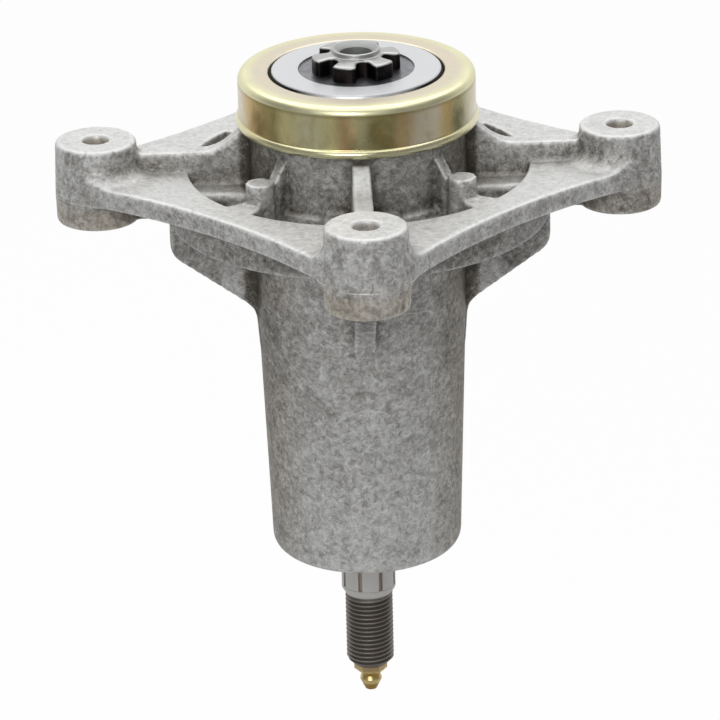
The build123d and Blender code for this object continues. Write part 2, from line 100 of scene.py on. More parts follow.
class Wiring:
    """A node tree written as short calls."""

    def __init__(self, tree: bpy.types.NodeTree) -> None:
        """Takes the tree to write in."""
        self.tree: bpy.types.NodeTree = tree

    def node(self, kind: str, feeds: Feeds = (), **settings: object) -> bpy.types.Node:
        """Adds a node.

        Args:
            kind: The node's type.
            feeds: Sockets or plain values for its inputs, in order or by their keys.
            settings: Its properties by name.

        Returns:
            The new node.
        """
        made = self.tree.nodes.new(kind)
        for key, value in settings.items():
            setattr(made, key, value)
        for key, value in feeds.items() if isinstance(feeds, dict) else enumerate(feeds):
            self.feed(made.inputs[key], value)
        return made

    def feed(self, target: Socket, value: object) -> None:
        """Gives an input a socket, or a plain value with a colour as its three tones.

        Args:
            target: The input.
            value: The socket or the value.
        """
        if isinstance(value, bpy.types.NodeSocket):
            self.tree.links.new(value, target)
        else:
            target.default_value = (*value, 1.0) if target.type == "RGBA" else value

    def math(self, operation: str, first: object, second: object = 0.0, clamp: bool = False) -> Socket:
        """The result of a math operation on two sockets or numbers, kept between 0 and 1 if clamped."""
        return self.node("ShaderNodeMath", (first, second), operation=operation, use_clamp=clamp).outputs[0]

    def product(self, *factors: object) -> object:
        """The product of several sockets or numbers."""
        return functools.reduce(lambda one, other: self.math("MULTIPLY", one, other), factors)

    def most(self, *values: object) -> object:
        """The largest of several sockets or numbers."""
        return functools.reduce(lambda one, other: self.math("MAXIMUM", one, other), values)

    def total(self, start: float, *terms: Tuple[Socket, float]) -> object:
        """A number with weighted values added to it.

        Args:
            start: The number.
            terms: Pairs of a value and its weight.

        Returns:
            The sum.
        """
        result: object = start
        for value, weight in terms:
            result = self.node("ShaderNodeMath", (value, weight, result), operation="MULTIPLY_ADD").outputs[0]
        return result

    def swing(self, start: float, *terms: Tuple[Socket, float]) -> object:
        """A number that swings to both sides with weighted noises."""
        return self.total(start - sum(weight for _, weight in terms) / 2, *terms)

    def rest(self, value: object) -> Socket:
        """What a share leaves of 1."""
        return self.math("SUBTRACT", 1.0, value)

    def part(self, vector: Socket, axis: Axis) -> Socket:
        """A vector's part along an axis."""
        return self.node("ShaderNodeSeparateXYZ", (vector,)).outputs[axis.value]

    def ramp(self, value: Socket, low: float, high: float, start: float = 0.0, end: float = 1.0) -> Socket:
        """A smooth step of a value, from a start where it is low to an end where it is high."""
        feeds = (value, low, high, start, end)
        return self.node("ShaderNodeMapRange", feeds, interpolation_type="SMOOTHSTEP").outputs[0]

    def either(self, share: Socket, first: Socket, second: Socket) -> Socket:
        """One shader that gives way to another by a share."""
        return self.node("ShaderNodeMixShader", (share, first, second)).outputs[0]

    def show(self, output: str, shader: Socket) -> None:
        """Joins a shader to the tree's output node."""
        self.feed(self.tree.nodes[output].inputs["Surface"], shader)


class Graph(Wiring):
    """A material's node tree, written in millimetres."""

    def __init__(self, name: str) -> None:
        """Starts a material with one shader and its place in millimetres.

        Args:
            name: The material's name.
        """
        self.material: bpy.types.Material = bpy.data.materials.new(name)
        self.material.use_nodes = True
        super().__init__(self.material.node_tree)
        self.shader: bpy.types.Node = self.tree.nodes["Principled BSDF"]
        place = self.node("ShaderNodeTexCoord").outputs["Object"]
        scaled = self.node("ShaderNodeVectorMath", {0: place, "Scale": 1 / MM}, operation="SCALE")
        self.place: Socket = scaled.outputs[0]

    def coordinate(self, axis: Axis) -> Socket:
        """One coordinate of the place, in millimetres."""
        return self.part(self.place, axis)

    def aside(self) -> Socket:
        """The distance from the plane X = 0, in millimetres."""
        return self.math("ABSOLUTE", self.coordinate(Axis.X))

    def vector(self, *parts: object) -> Socket:
        """A vector of three sockets or numbers."""
        return self.node("ShaderNodeCombineXYZ", parts).outputs[0]

    def length(self, *parts: object) -> Socket:
        """The length of a vector of three sockets or numbers."""
        return self.node("ShaderNodeVectorMath", (self.vector(*parts),), operation="LENGTH").outputs["Value"]

    def radius(self) -> Socket:
        """The distance from the shaft's axis, in millimetres."""
        return self.length(self.coordinate(Axis.X), self.coordinate(Axis.Y), 0.0)

    def upward(self) -> Socket:
        """How far the surface faces up, from -1 to 1."""
        return self.part(self.node("ShaderNodeNewGeometry").outputs["Normal"], Axis.Z)

    def moved(self, where: Socket, shift: Point, scale: Point = (1.0, 1.0, 1.0)) -> Socket:
        """A place scaled along each axis and then shifted, so that two textures differ."""
        return self.node("ShaderNodeVectorMath", (where, scale, shift), operation="MULTIPLY_ADD").outputs[0]

    def noise(self, layer: Layer, where: Optional[Socket] = None) -> Socket:
        """Cloudy noise.

        Args:
            layer: How it is drawn.
            where: Another place than the point's own.

        Returns:
            The noise, from about 0 to 1.
        """
        feeds = {
            "Vector": self.moved(where or self.place, layer.shift, layer.scale),
            "Scale": 1 / layer.size,
            "Detail": layer.detail,
            "Roughness": layer.roughness,
            "Distortion": layer.swirl,
        }
        return self.node("ShaderNodeTexNoise", feeds).outputs["Fac"]

    def cells(self, size: float, shift: Point) -> Socket:
        """The distance to the nearest of scattered points, as a share of their spacing in millimetres."""
        feeds = {"Vector": self.moved(self.place, shift), "Scale": 1 / size}
        return self.node("ShaderNodeTexVoronoi", feeds, feature="F1").outputs["Distance"]

    def band(self, value: Socket, centre: float, half_width: float) -> Socket:
        """1 where a value is at a centre, falling to 0 at a half width on both sides."""
        away = self.math("ABSOLUTE", self.math("SUBTRACT", value, centre))
        return self.ramp(away, half_width, 0.0)

    def filaments(self, layer: Layer, width: float) -> Socket:
        """Thin curved lines along a noise's middle values, as a tumbled surface has."""
        return self.band(self.noise(layer), 0.5, width)

    def mix(self, share: object, under: object, over: object, blend: Blend = Blend.MIX) -> Socket:
        """One colour laid over another by a share of the second."""
        feeds = {0: share, 6: under, 7: over}
        return self.node("ShaderNodeMix", feeds, data_type="RGBA", blend_type=blend.value).outputs[2]

    def tints(self, value: Socket, stops: Sequence[Tuple[float, Colour]], flow: str = "EASE") -> Socket:
        """A run of tints that flow into each other.

        Args:
            value: Where on the run a point lies, from 0 to 1.
            stops: Each tint with its place on the run.
            flow: How one tint turns into the next.

        Returns:
            The colour.
        """
        made = self.node("ShaderNodeValToRGB", (value,))
        made.color_ramp.interpolation = flow
        elements = made.color_ramp.elements
        for element, (place, tint) in zip(elements, (stops[0], stops[-1])):
            element.position = place
            element.color = (*tint, 1.0)
        for place, tint in stops[1:-1]:
            elements.new(place).color = (*tint, 1.0)
        return made.outputs["Color"]

    def trace(self, kind: Trace) -> Socket:
        """A value stored on the mesh's vertices."""
        return self.node("ShaderNodeAttribute", attribute_name=kind.value).outputs["Fac"]

    def occlusion(self, reach: float) -> Socket:
        """How open the surface is, 0 in a corner deep for the reach in millimetres and 1 in the open."""
        made = self.node("ShaderNodeAmbientOcclusion", {"Distance": reach * MM}, samples=OPENNESS_RAYS)
        return made.outputs["AO"]

    def bumps(self, heights: Iterable[Tuple[Socket, float]]) -> None:
        """Stacks bump layers on the shader's normal.

        Args:
            heights: Pairs of a height socket and its depth in millimetres.
        """
        below: Dict[str, Socket] = {}
        for height, depth in heights:
            feeds = {"Strength": 1.0, "Distance": depth * MM, "Height": height, **below}
            below = {"Normal": self.node("ShaderNodeBump", feeds).outputs[0]}
        self.feed(self.shader.inputs["Normal"], below["Normal"])

    def dress(self, colour: object, metallic: object, roughness: object) -> bpy.types.Material:
        """Sets the shader's main inputs.

        Args:
            colour: The base colour or its socket.
            metallic: How metallic it is, or its socket.
            roughness: The roughness or its socket.

        Returns:
            The finished material.
        """
        for key, value in (("Base Color", colour), ("Metallic", metallic), ("Roughness", roughness)):
            self.feed(self.shader.inputs[key], value)
        return self.material


@dataclass(frozen=True)
class FlowMark:
    """A thin raised line that the metal's flow left on the barrel, an arc seen from the front."""

    centre_x: float
    centre_z: float
    bend_r: float
    left_x: float
    right_x: float
    width: float = 0.42
    front_y: float = -12.0
    fade: float = 2.0
    wander: float = 1.6
    layer: Layer = Layer(4.0)

    def mask(self, g: Graph) -> Socket:
        """Where the line runs.

        Args:
            g: The node tree that uses it.

        Returns:
            1 on the line and 0 away from it.
        """
        x, height = g.coordinate(Axis.X), g.coordinate(Axis.Z)
        across = g.math("SUBTRACT", x, self.centre_x)
        above = g.math("SUBTRACT", height, self.centre_z)
        wander = g.swing(0.0, (g.noise(self.layer), self.wander))
        away = g.total(0.0, (g.length(across, above, 0.0), 1.0), (wander, 1.0))
        line = g.band(away, self.bend_r, self.width)
        left = g.ramp(x, self.left_x, self.left_x + self.fade)
        right = g.ramp(x, self.right_x, self.right_x - self.fade)
        front = g.ramp(g.coordinate(Axis.Y), self.front_y, self.front_y - 1.0)
        return g.product(line, g.product(left, right), front, g.ramp(above, 0.0, self.fade))


@dataclass(frozen=True)
class CastTones:
    """How far each part of the pattern moves the casting's tone, where 0 is deepest and 1 is brightest;
    several parts are painted light and shade.
    """

    start: float = 0.56
    pattern: float = 0.95
    # Painted shade: the whole barrel darker, as if in the frame's shadow.
    barrel_shade: float = -0.07
    # Painted shade: the barrel's left and right flanks darker, as if turned away from the light.
    flank_shade: float = -0.36
    # Painted light: the barrel lighter towards its foot, as if lit by the floor's bounce.
    low: float = 0.15
    # Painted shade: the skirt's wall darker under the frame's overhang.
    skirt: float = -0.22
    # Painted shade: the right ear's walls darker, turned away from the key light on the left.
    right_ear_shade: float = -0.12
    rubs: float = 0.30
    flecks: float = 0.16
    # Painted light: upward faces lighter, as if lit from above.
    top: float = 0.25
    # Partly real wear and partly painted highlight: convex edges lighter.
    worn_and_highlight: float = 0.28
    parting: float = 0.22
    # Ear holes' walls lighter: partly the drilled metal, partly painted light falling in from above.
    hole: float = 0.30
    # Painted shade: inner corners darker.
    corner_shade: float = -0.16
    shade: float = -0.34
    mark: float = 0.20


@dataclass(frozen=True)
class CastSkin:
    """Die-cast aluminium, tumbled after trimming: mottled grey with light rub marks and worn edges, with
    painted light and shade laid over it.
    """

    deep: Colour = (0.070, 0.065, 0.057)
    dark: Colour = (0.205, 0.198, 0.185)
    middle: Colour = (0.365, 0.358, 0.344)
    light: Colour = (0.60, 0.598, 0.588)
    bright: Colour = (0.72, 0.72, 0.715)
    # Painted warm shade, multiplied over shaded places.
    warm_shade: Colour = (0.90, 0.83, 0.73)
    metallic: float = 0.42
    roughness: float = 0.50
    parting_z: float = -16.0
    parting_r: float = 57.0
    ear_circle_r: float = 76.2
    ear_hole_r: float = 4.1
    ear_r: float = 13.5
    barrel_r: float = 33.5
    barrel_foot_z: float = -120.0
    skirt_near_r: float = 39.5
    skirt_r: float = 42.5
    flank_x: float = 17.0
    occlusion_reach: float = 16.0
    depths: Tuple[float, ...] = (0.25, 0.14, 0.09, 0.05, 0.02, 0.16)
    tones: CastTones = CastTones()
    clouds: Layer = Layer(28.0, swirl=0.4)
    blotch: Layer = Layer(7.0, swirl=0.6, shift=(31.0, 7.0, 3.0))
    mottle: Layer = Layer(3.0, 2.0, 0.6, 0.8, (11.0, 17.0, 5.0))
    grit: Layer = Layer(1.6, 2.0, 0.65, 0.7, (5.0, 51.0, 9.0))
    grain: Layer = Layer(0.8, 1.0, shift=(15.0, 5.0, 29.0))
    drag: Layer = Layer(2.6, 2.0, 0.55, 0.4, (2.0, 6.0, 1.0), (1.0, 1.0, 0.45))
    dense: Layer = Layer(6.0, 3.0, 0.6, 0.0, (3.0, 77.0, 21.0))
    chipped: Layer = Layer(2.4, 3.0, 0.6, 0.0, (8.0, 3.0, 70.0))
    broken: Layer = Layer(6.0, 3.0, 0.6, 0.0, (60.0, 4.0, 9.0))
    uneven: Layer = Layer(9.0)
    rub_lines: Tuple[Tuple[Layer, float], ...] = (
        (Layer(1.3, 1.0, 0.5, 1.2, (40.0, 1.0, 8.0)), 0.030),
        (Layer(2.6, 1.0, 0.5, 1.8, (0.0, 11.0, 4.0)), 0.024),
        (Layer(5.0, 1.0, 0.5, 2.4, (9.0, 2.0, 44.0)), 0.014),
    )
    marks: Tuple[FlowMark, ...] = (
        FlowMark(0.6, -88.4, 12.5, -11.5, 7.5),
        FlowMark(9.9, -79.3, 33.0, 11.5, 21.0),
    )

    def from_ear(self, g: Graph) -> Socket:
        """The distance from the axis of the nearest ear's hole.

        Args:
            g: The node tree that uses it.

        Returns:
            The distance in millimetres.
        """
        x, y = (g.math("ABSOLUTE", g.coordinate(axis)) for axis in (Axis.X, Axis.Y))
        outward = g.math("SUBTRACT", g.math("MAXIMUM", x, y), self.ear_circle_r)
        return g.length(outward, g.math("MINIMUM", x, y), 0.0)

    def rubs(self, g: Graph) -> Socket:
        """Light curved marks that tumbling left, denser in some places."""
        lines = g.most(*(g.filaments(layer, width) for layer, width in self.rub_lines))
        return g.product(lines, g.ramp(g.noise(self.dense), 0.36, 0.60))

    def parting(self, g: Graph) -> Socket:
        """The line where the die's halves met, round the ears and along the frame's foot.

        Args:
            g: The node tree that uses it.

        Returns:
            1 on the line and 0 away from it.
        """
        level = g.swing(0.0, (g.noise(self.uneven), 0.5))
        line = g.band(g.math("ADD", g.coordinate(Axis.Z), level), self.parting_z, 0.40)
        outside = g.ramp(g.radius(), self.parting_r, self.parting_r + 1.0)
        return g.product(line, outside, g.ramp(g.upward(), 0.5, 0.2))

    def skirt(self, g: Graph, ear: Socket, wall: Socket) -> Socket:
        """Where the round skirt's wall is, below the frame and between the ears.

        Args:
            g: The node tree that uses it.
            ear: Whether a point is on an ear.
            wall: Whether it faces sideways.

        Returns:
            1 on the skirt and 0 away from it.
        """
        radius = g.radius()
        outside = g.product(g.ramp(radius, self.skirt_near_r, self.skirt_r), g.rest(ear))
        below = g.ramp(g.coordinate(Axis.Z), self.parting_z + 1.0, self.parting_z - 3.0)
        inside = g.ramp(radius, self.parting_r + 0.5, self.parting_r - 0.5)
        return g.product(g.product(outside, below, wall), inside)

    def tint(self, g: Graph, tone: Socket) -> Socket:
        """The metal's grey for a tone.

        Args:
            g: The node tree that uses it.
            tone: The tone, from 0 to 1.

        Returns:
            The colour.
        """
        greys = (self.deep, self.dark, self.middle, self.light, self.bright)
        return g.tints(tone, tuple(zip((0.0, 0.26, 0.5, 0.78, 1.0), greys)), "LINEAR")

    def material(self) -> bpy.types.Material:
        """Builds the finish.

        Returns:
            The material.
        """
        g, tones = Graph("cast_aluminium"), self.tones
        clouds, blotch, mottle = (g.noise(layer) for layer in (self.clouds, self.blotch, self.mottle))
        grit, grain, drag = (g.noise(layer) for layer in (self.grit, self.grain, self.drag))
        height = g.coordinate(Axis.Z)
        flecks = g.product(g.ramp(g.cells(1.9, (4.0, 9.0, 2.0)), 0.22, 0.08), g.ramp(blotch, 0.4, 0.6))
        top = g.ramp(g.upward(), 0.35, 0.95)
        wall = g.rest(top)
        from_ear = self.from_ear(g)
        ear = g.ramp(from_ear, self.ear_r + 3.0, self.ear_r)
        hole = g.ramp(from_ear, self.ear_hole_r + 0.1, self.ear_hole_r - 0.1)
        coarse = g.swing(0.0, (clouds, 0.16), (blotch, 0.30), (mottle, 0.50))
        fine = g.swing(0.0, (grit, 1.05), (grain, 0.08))
        pattern = g.total(
            0.0,
            (coarse, g.ramp(top, 0.0, 1.0, 1.0, 0.35)),
            (fine, g.ramp(top, 0.0, 1.0, 1.0, 0.75)),
            (g.swing(0.0, (drag, 0.60)), g.product(ear, wall)),
        )
        openness = g.occlusion(self.occlusion_reach)
        parting = self.parting(g)
        on_barrel = g.ramp(g.radius(), self.barrel_r + 2.0, self.barrel_r)
        # Painted shade on the barrel's flanks.
        flank_shade = g.product(g.ramp(g.aside(), self.flank_x, self.barrel_r), on_barrel)
        # Painted light on the lower barrel.
        low = g.product(g.ramp(height, self.parting_z - 20.0, self.barrel_foot_z), on_barrel)
        # Painted shade on the right ear's walls.
        far_right = g.ramp(g.coordinate(Axis.X), self.parting_r, self.ear_circle_r)
        tone = g.total(
            tones.start,
            (pattern, tones.pattern),
            # Painted shade over the barrel.
            (on_barrel, tones.barrel_shade),
            (flank_shade, tones.flank_shade),
            (low, tones.low),
            # Painted shade on the skirt's wall under the frame.
            (self.skirt(g, ear, wall), tones.skirt),
            (g.product(ear, wall, far_right), tones.right_ear_shade),
            (g.product(self.rubs(g), wall), tones.rubs),
            (flecks, tones.flecks),
            # Painted light on upward faces.
            (top, tones.top),
            # Convex edges lighter: partly wear, partly painted highlight.
            (g.product(g.trace(Trace.EDGE), g.ramp(g.noise(self.chipped), 0.25, 0.60)), tones.worn_and_highlight),
            (g.product(parting, g.ramp(g.noise(self.broken), 0.34, 0.60)), tones.parting),
            # Ear holes lighter, partly painted light, and kept out of the painted shade below.
            (hole, tones.hole),
            # Painted shade in inner corners.
            (g.trace(Trace.HOLLOW), tones.corner_shade),
            (g.product(g.ramp(openness, 0.92, 0.30), g.rest(hole)), tones.shade),
        )
        for mark in self.marks:
            tone = g.total(0.0, (tone, 1.0), (mark.mask(g), tones.mark))
        # Painted warm shade: a brown tint over the barrel's flanks, the ears below the parting line and the
        # hollows.
        low_ear_shade = g.product(ear, g.ramp(height, self.parting_z + 2.0, self.parting_z - 4.0))
        warm_shade = g.most(flank_shade, low_ear_shade, g.ramp(openness, 0.75, 0.25))
        warm_shade = g.product(warm_shade, g.ramp(clouds, 0.25, 0.60, 0.4, 1.0))
        colour = g.mix(warm_shade, self.tint(g, tone), self.warm_shade, Blend.MULTIPLY)
        roughness = g.ramp(mottle, 0.2, 0.8, self.roughness - 0.08, self.roughness + 0.12)
        g.bumps(zip((clouds, blotch, mottle, grit, grain, parting), self.depths))
        return g.dress(colour, self.metallic, roughness)


@dataclass(frozen=True)
class PlatedSkin:
    """Yellow chromate over zinc: pale straw on top, olive, amber, rose and sage bands round the side, partly
    its own colours and partly painted reflections and highlights.
    """

    pearl: Colour = (0.60, 0.55, 0.45)
    cream: Colour = (0.67, 0.60, 0.46)
    lime: Colour = (0.73, 0.71, 0.46)
    straw: Colour = (0.66, 0.60, 0.30)
    amber: Colour = (0.54, 0.38, 0.16)
    rose: Colour = (0.50, 0.35, 0.17)
    sage: Colour = (0.38, 0.36, 0.20)
    olive: Colour = (0.26, 0.22, 0.085)
    side_r: float = 34.5
    top_z: float = 19.2
    foot_z: float = 3.8
    corner_r: float = 2.3
    bead_height: float = 2.75
    roughness: float = 0.24
    drift: Layer = Layer(16.0, swirl=0.3, shift=(2.0, 8.0, 1.0))
    haze: Layer = Layer(7.0, 3.0, 0.55, 0.4, (9.0, 4.0, 7.0))
    bloom: Layer = Layer(5.0, 3.0, 0.6, 0.5, (1.0, 14.0, 3.0), (1.0, 1.0, 0.6))
    fine: Layer = Layer(0.6)
    streak: Layer = Layer(1.4, scale=(1.0, 1.0, 0.12))

    def side_tints_and_reflections(self) -> Sequence[Tuple[float, Colour]]:
        """The tints across the cap's side, from its left to its right: partly the chromate's own colours,
        partly painted reflections and highlights.

        Returns:
            Each tint with its place.
        """
        return (
            (0.00, self.pearl),
            (0.06, self.amber),
            (0.15, self.olive),
            (0.20, self.straw),
            (0.29, self.lime),
            (0.37, self.straw),
            (0.43, self.rose),
            (0.51, self.sage),
            (0.57, self.olive),
            (0.63, self.olive),
            (0.68, self.rose),
            (0.76, self.cream),
            (0.82, self.cream),
            (0.87, self.amber),
            (0.92, self.sage),
            (1.00, self.pearl),
        )

    def material(self) -> bpy.types.Material:
        """Builds the finish.

        Returns:
            The material.
        """
        g = Graph("gold_plating")
        height = g.coordinate(Axis.Z)
        across = g.total(0.0, (g.coordinate(Axis.X), 1.0), (g.swing(0.0, (g.noise(self.drift), 6.0)), 1.0))
        share = g.math("ADD", g.product(across, 0.5 / self.side_r), 0.5, clamp=True)
        haze, bloom = g.noise(self.haze), g.noise(self.bloom)
        top_low, bead_top = self.top_z - self.corner_r, self.foot_z + self.bead_height
        overlays = (
            (g.ramp(haze, 0.35, 0.75, 0.0, 0.30), self.straw),
            (g.ramp(bloom, 0.50, 0.72, 0.0, 0.40), self.rose),
            (g.ramp(bloom, 0.46, 0.28, 0.0, 0.35), self.sage),
            # Painted reflection: a dark olive line just under the rim.
            (g.product(g.band(height, top_low - 0.3, 1.0), 0.45), self.olive),
            # Painted highlight: the rolled bead lighter and lime.
            (g.product(g.ramp(height, bead_top + 0.2, bead_top - 0.4), 0.75), self.lime),
        )
        side = g.tints(share, self.side_tints_and_reflections())
        for weight, tint in overlays:
            side = g.mix(weight, side, tint)
        lip = g.ramp(height, top_low - 0.1, top_low + 0.3)
        flat_r = self.side_r - self.corner_r
        flat = g.ramp(g.radius(), flat_r + 0.6, flat_r - 3.5)
        pale = g.mix(g.ramp(haze, 0.35, 0.75), self.cream, self.pearl)
        # The lime ring round the top's rim is partly the plating's colour, partly painted highlight.
        colour = g.mix(lip, side, g.mix(flat, self.lime, pale))
        g.bumps([(g.noise(self.fine), 0.001), (g.noise(self.streak), 0.002), (haze, 0.02)])
        roughness = g.ramp(haze, 0.3, 0.7, self.roughness - 0.03, self.roughness + 0.08)
        return g.dress(colour, 1.0, g.math("ADD", roughness, g.product(lip, 0.10)))


@dataclass(frozen=True)
class TurnedSteel:
    """The shaft's steel: bright on the turned seat, dark forged skin round the star, worn on the spline."""

    bright: Colour = (0.66, 0.665, 0.68)
    lobe: Colour = (0.44, 0.44, 0.435)
    black: Colour = (0.014, 0.013, 0.014)
    umber: Colour = (0.030, 0.023, 0.021)
    teal: Colour = (0.15, 0.165, 0.175)
    violet: Colour = (0.26, 0.25, 0.265)
    thread: Colour = (0.16, 0.140, 0.122)
    crest: Colour = (0.30, 0.285, 0.265)
    spline: Colour = (0.60, 0.59, 0.57)
    groove: Colour = (0.40, 0.35, 0.29)
    bore: Colour = (0.36, 0.37, 0.36)
    seat_low_z: float = 16.0
    seat_r: float = 24.8
    recess_r: float = 16.9
    star_low_z: float = 22.9
    collar_low_z: float = 24.3
    hole_r: float = 6.3
    hole_low_z: float = -20.0
    spline_top_z: float = -125.0
    spline_r: float = 8.1
    groove_foot_z: float = -144.3
    thread_top_z: float = -146.9
    crest_r: float = 7.14
    collar_r: float = 7.9
    collar_inner_r: float = 7.5
    gap_shade_near_x: float = 11.0
    gap_shade_far_x: float = 19.0
    grain_turn: float = 0.25
    grain_pull: float = 0.45
    rings: Layer = Layer(0.55, 3.0, 0.65)
    stain: Layer = Layer(3.0, 3.0, 0.55, 0.5)
    grain: Layer = Layer(0.4, 3.0, 0.6)

    def in_hole(self, g: Graph) -> Socket:
        """Whether a point lies in the bolt's hole.

        Args:
            g: The node tree that uses it.

        Returns:
            1 in the hole and 0 outside it.
        """
        inside = g.ramp(g.radius(), self.hole_r + 0.1, self.hole_r - 0.1)
        return g.product(inside, g.ramp(g.coordinate(Axis.Z), self.hole_low_z, 0.0))

    def head(self, g: Graph, stain: Socket) -> Socket:
        """The colour of the star, the recess round it, the seat and the bolt's hole.

        Args:
            g: The node tree that uses it.
            stain: A cloudy noise.

        Returns:
            The colour.
        """
        radius, height = g.radius(), g.coordinate(Axis.Z)
        flat = g.ramp(g.upward(), 0.25, 0.6)
        in_recess = g.ramp(radius, self.recess_r + 0.1, self.recess_r - 0.1)
        seat = g.product(g.rest(in_recess), g.ramp(height, self.seat_low_z, self.seat_low_z + 0.5))
        gap_shade_rim = g.product(g.ramp(radius, self.seat_r - 0.3, self.seat_r - 0.1), g.ramp(g.upward(), 0.9, 0.6))
        floor = g.product(in_recess, flat, g.ramp(height, self.star_low_z, self.star_low_z - 0.6))
        lobes = g.product(flat, g.ramp(height, self.star_low_z - 0.2, self.star_low_z + 0.3))
        colour = g.mix(g.ramp(stain, 0.40, 0.70), self.black, self.umber)
        # The recess floor's teal and violet mottle is partly the oxide's colour and partly painted reflection
        # of the star.
        colour = g.mix(floor, colour, g.mix(g.ramp(stain, 0.3, 0.7), self.teal, self.violet))
        collar = g.ramp(height, self.collar_low_z - 0.2, self.collar_low_z)
        collar = g.product(collar, g.ramp(radius, self.collar_r, self.collar_inner_r))
        colour = g.mix(g.most(lobes, collar), colour, self.lobe)
        # Painted shade: the seat's rounded outer edge black at the left and right, where the gap to the cap
        # lies in shadow.
        aside = g.ramp(g.aside(), self.gap_shade_near_x, self.gap_shade_far_x)
        colour = g.mix(seat, colour, g.mix(g.product(gap_shade_rim, aside), self.bright, self.black))
        return g.mix(g.product(self.in_hole(g), 0.9), colour, self.bore)

    def foot(self, g: Graph) -> Socket:
        """The colour of the spline, the plain ring below it and the thread.

        Args:
            g: The node tree that uses it.

        Returns:
            The colour.
        """
        radius, height = g.radius(), g.coordinate(Axis.Z)
        grooved = g.mix(g.ramp(radius, self.spline_r - 0.55, self.spline_r - 0.2), self.groove, self.spline)
        plain = g.ramp(height, self.groove_foot_z + 0.3, self.groove_foot_z - 0.3)
        colour = g.mix(plain, grooved, self.spline)
        # Thread crests lighter than its roots: partly wear, partly painted highlight on the crests and
        # painted shade in the roots.
        worn_and_highlight = g.mix(g.ramp(radius, self.crest_r - 0.40, self.crest_r + 0.05), self.thread, self.crest)
        return g.mix(g.ramp(height, self.thread_top_z + 0.5, self.thread_top_z - 0.5), colour, worn_and_highlight)

    def material(self) -> bpy.types.Material:
        """Builds the finish.

        Returns:
            The material.
        """
        g = Graph("shaft_steel")
        height = g.coordinate(Axis.Z)
        rings = g.noise(self.rings, g.vector(g.radius(), 0.0, 0.0))
        stain, grain = g.noise(self.stain), g.noise(self.grain)
        below = g.ramp(height, self.spline_top_z, self.spline_top_z - 1.0)
        colour = g.mix(below, self.head(g, stain), self.foot(g))
        level = g.ramp(g.upward(), 0.8, 0.95)
        g.bumps([(rings, 0.006), (grain, 0.008), (stain, 0.015)])
        tangent = g.node("ShaderNodeTangent", direction_type="RADIAL", axis="Z")
        g.feed(g.shader.inputs["Tangent"], tangent.outputs[0])
        g.feed(g.shader.inputs["Anisotropic Rotation"], self.grain_turn)
        g.feed(g.shader.inputs["Anisotropic"], g.product(level, self.grain_pull))
        seat = g.product(level, g.ramp(g.radius(), self.recess_r - 0.1, self.recess_r + 0.1))
        hole = self.in_hole(g)
        dull = g.most(g.product(seat, 0.60), g.product(below, 0.35), g.product(hole, 0.4))
        roughness = g.ramp(grain, 0.2, 0.8, 0.26, 0.40)
        roughness = g.total(0.0, (roughness, 1.0), (g.rest(level), 0.10), (below, 0.08), (hole, 0.15))
        return g.dress(colour, g.rest(dull), roughness)


@dataclass(frozen=True)
class FittingSkin:
    """The grease fitting's plating: pale gold with painted shade on the neck under the hexagon, cloudy darker
    mottle and a dull hexagon.
    """

    gold: Colour = (0.74, 0.58, 0.26)
    neck_shade_and_mottle: Colour = (0.36, 0.23, 0.06)
    dull: Colour = (0.52, 0.38, 0.20)
    neck_r: float = 2.7
    hexagon_z: float = -172.6
    cloud: Layer = Layer(1.6, 3.0, 0.6, 0.5)
    grain: Layer = Layer(0.3, 3.0, 0.6)

    def material(self) -> bpy.types.Material:
        """Builds the finish.

        Returns:
            The material.
        """
        g = Graph("fitting_brass")
        cloud, grain = g.noise(self.cloud), g.noise(self.grain)
        # Painted shade: the neck under the hexagon darker brown; the same brown also mottles the plating at
        # random.
        colour = g.mix(g.ramp(g.radius(), self.neck_r + 0.5, self.neck_r - 0.2), self.gold, self.neck_shade_and_mottle)
        hexagon = g.ramp(g.coordinate(Axis.Z), self.hexagon_z - 0.3, self.hexagon_z + 0.3)
        colour = g.mix(hexagon, colour, self.dull)
        colour = g.mix(g.ramp(cloud, 0.40, 0.75, 0.0, 0.5), colour, self.neck_shade_and_mottle)
        g.bumps([(grain, 0.006), (cloud, 0.03)])
        return g.dress(colour, 1.0, g.ramp(cloud, 0.3, 0.7, 0.24, 0.36))


@dataclass(frozen=True)
class PlainMetal:
    """A plain bright or coloured metal with a fine grain, cloudy stains and painted shade in its corners."""

    name: str
    colour: Colour
    stain: Colour
    roughness: float = 0.3
    grain: float = 0.5
    depth: float = 0.01

    def material(self) -> bpy.types.Material:
        """Builds the finish.

        Returns:
            The material.
        """
        g = Graph(self.name)
        cloud, grain = g.noise(Layer(4.0, 4.0, 0.6, 0.5)), g.noise(Layer(self.grain, 3.0, 0.6))
        colour = g.mix(g.ramp(cloud, 0.45, 0.8), self.colour, self.stain)
        # Painted shade: darker in corners, by occlusion, in the stain's colour.
        colour = g.mix(g.ramp(g.occlusion(1.5), 0.8, 0.2), colour, self.stain, Blend.MULTIPLY)
        roughness = g.ramp(grain, 0.2, 0.8, self.roughness - 0.06, self.roughness + 0.08)
        g.bumps([(grain, self.depth)])
        return g.dress(colour, 1.0, roughness)


@dataclass(frozen=True)
class MouldedRubber:
    """Black moulded rubber of a bearing seal."""

    colour: Colour = (0.02, 0.02, 0.022)
    dusty: Colour = (0.05, 0.05, 0.05)

    def material(self) -> bpy.types.Material:
        """Builds the finish.

        Returns:
            The material.
        """
        g = Graph("seal_rubber")
        cloud = g.noise(Layer(2.0, 4.0, 0.6))
        colour = g.mix(g.ramp(cloud, 0.4, 0.8), self.colour, self.dusty)
        g.bumps([(cloud, 0.02)])
        return g.dress(colour, 0.0, g.ramp(cloud, 0.2, 0.8, 0.5, 0.7))


